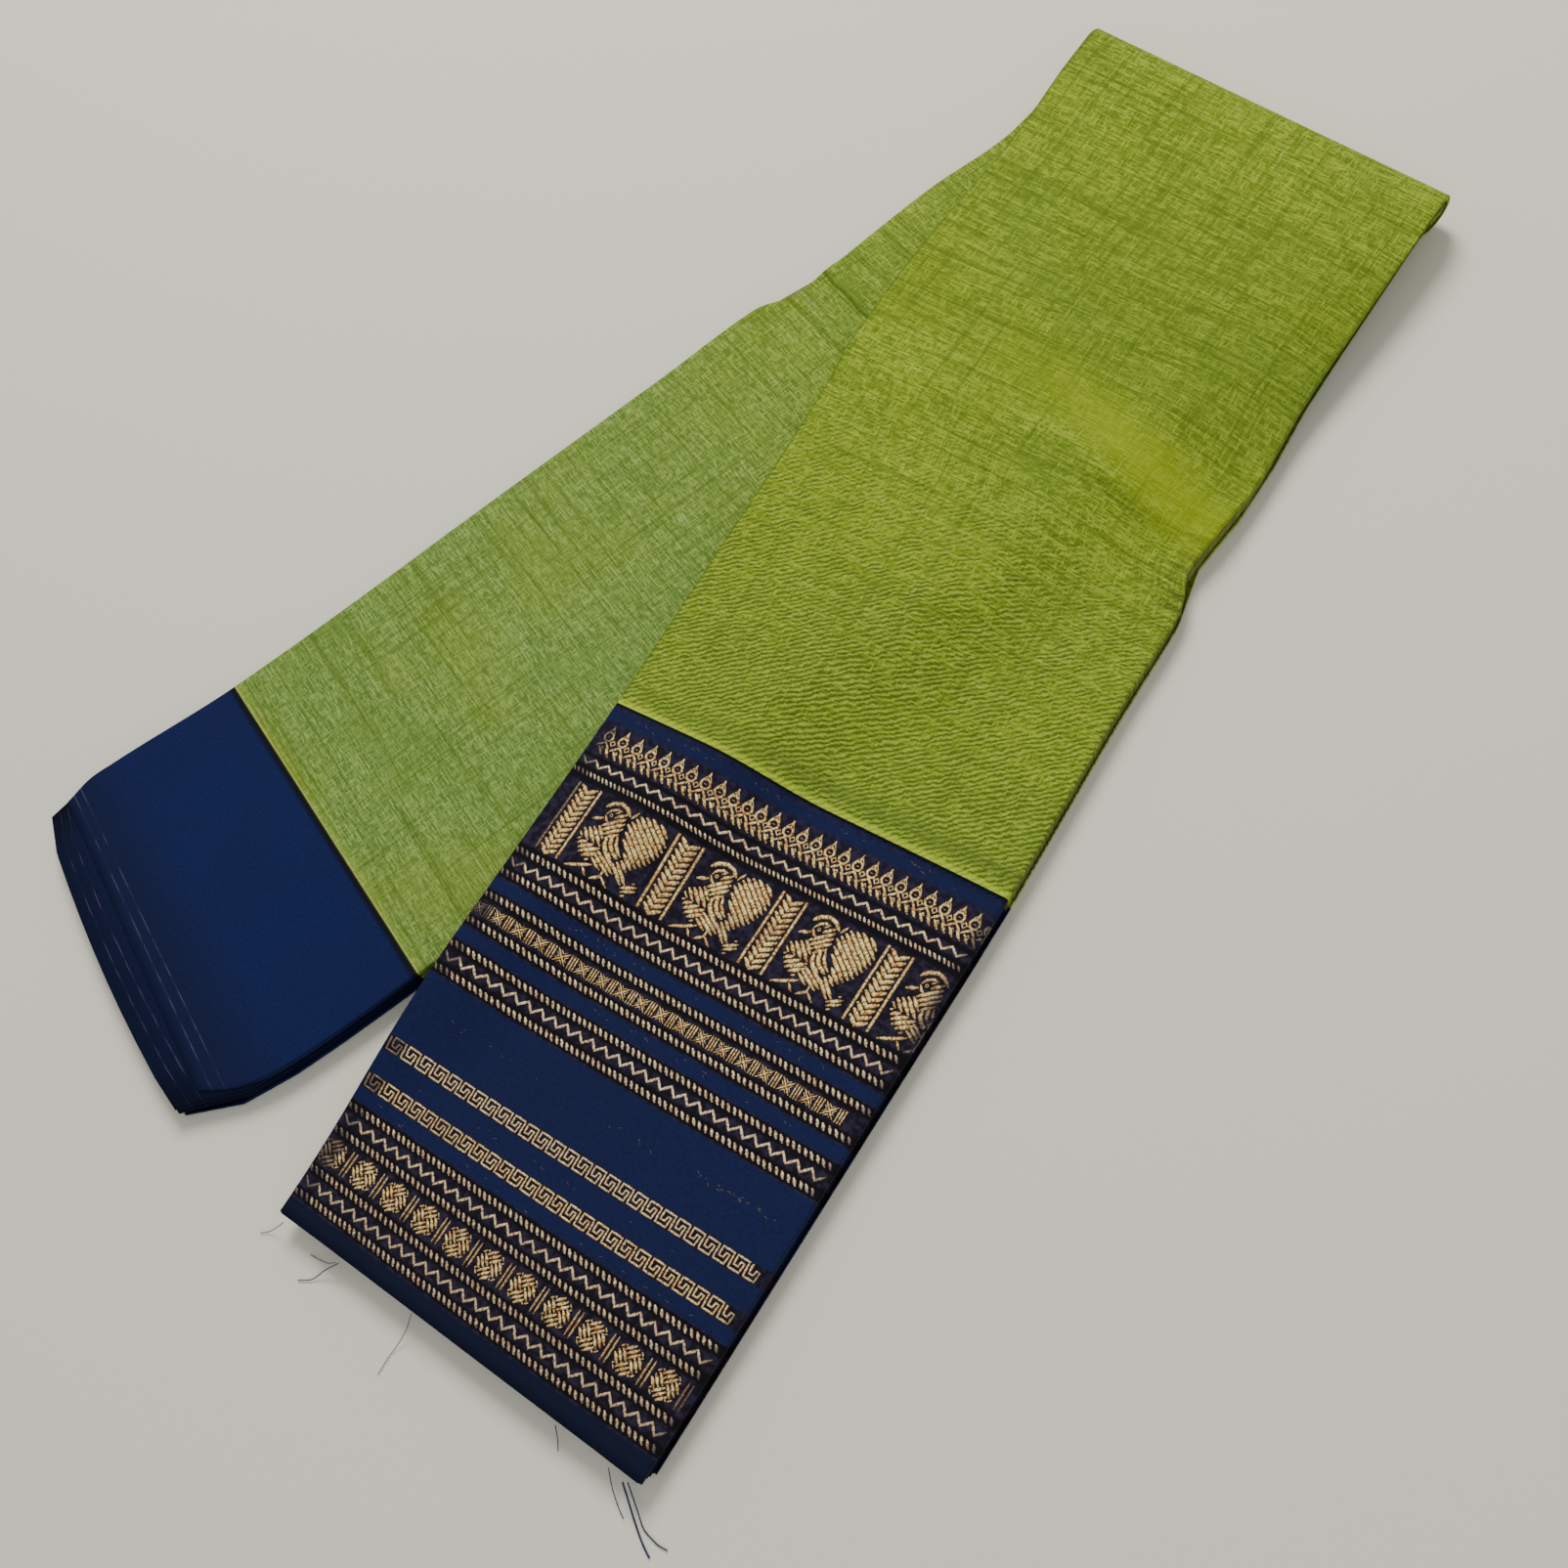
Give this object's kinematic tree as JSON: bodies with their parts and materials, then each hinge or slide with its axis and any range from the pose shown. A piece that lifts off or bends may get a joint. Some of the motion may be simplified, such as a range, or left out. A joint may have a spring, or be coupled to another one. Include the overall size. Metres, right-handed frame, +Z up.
{
  "type": "folded cotton sari",
  "caption": "Cotton sari folded into a flat strip and turned back once into a V, green with navy ends, one plain border and one wide brocade border.",
  "frame": {"origin": "middle of the bounding box, on the surface that the cloth lies on", "axes": "+Z up; +Y from the strip's two ends towards the slanting fold; +X along that fold, towards the side where the top leg lies"},
  "size_m": [0.3802, 0.5934, 0.0224],
  "materials": {
    "green_cotton": "matt hand-woven cotton, shot lime and leaf green, with fine slubs",
    "navy_cotton": "close plain weave with a low soft sheen",
    "copper_zari": "metallic wrapped thread, raised a little, soft glitter",
    "loose_thread": "single fine cotton ends"
  },
  "bodies": {
    "root": {"folded_sari": "green_cotton"}
  },
  "joints": []
}
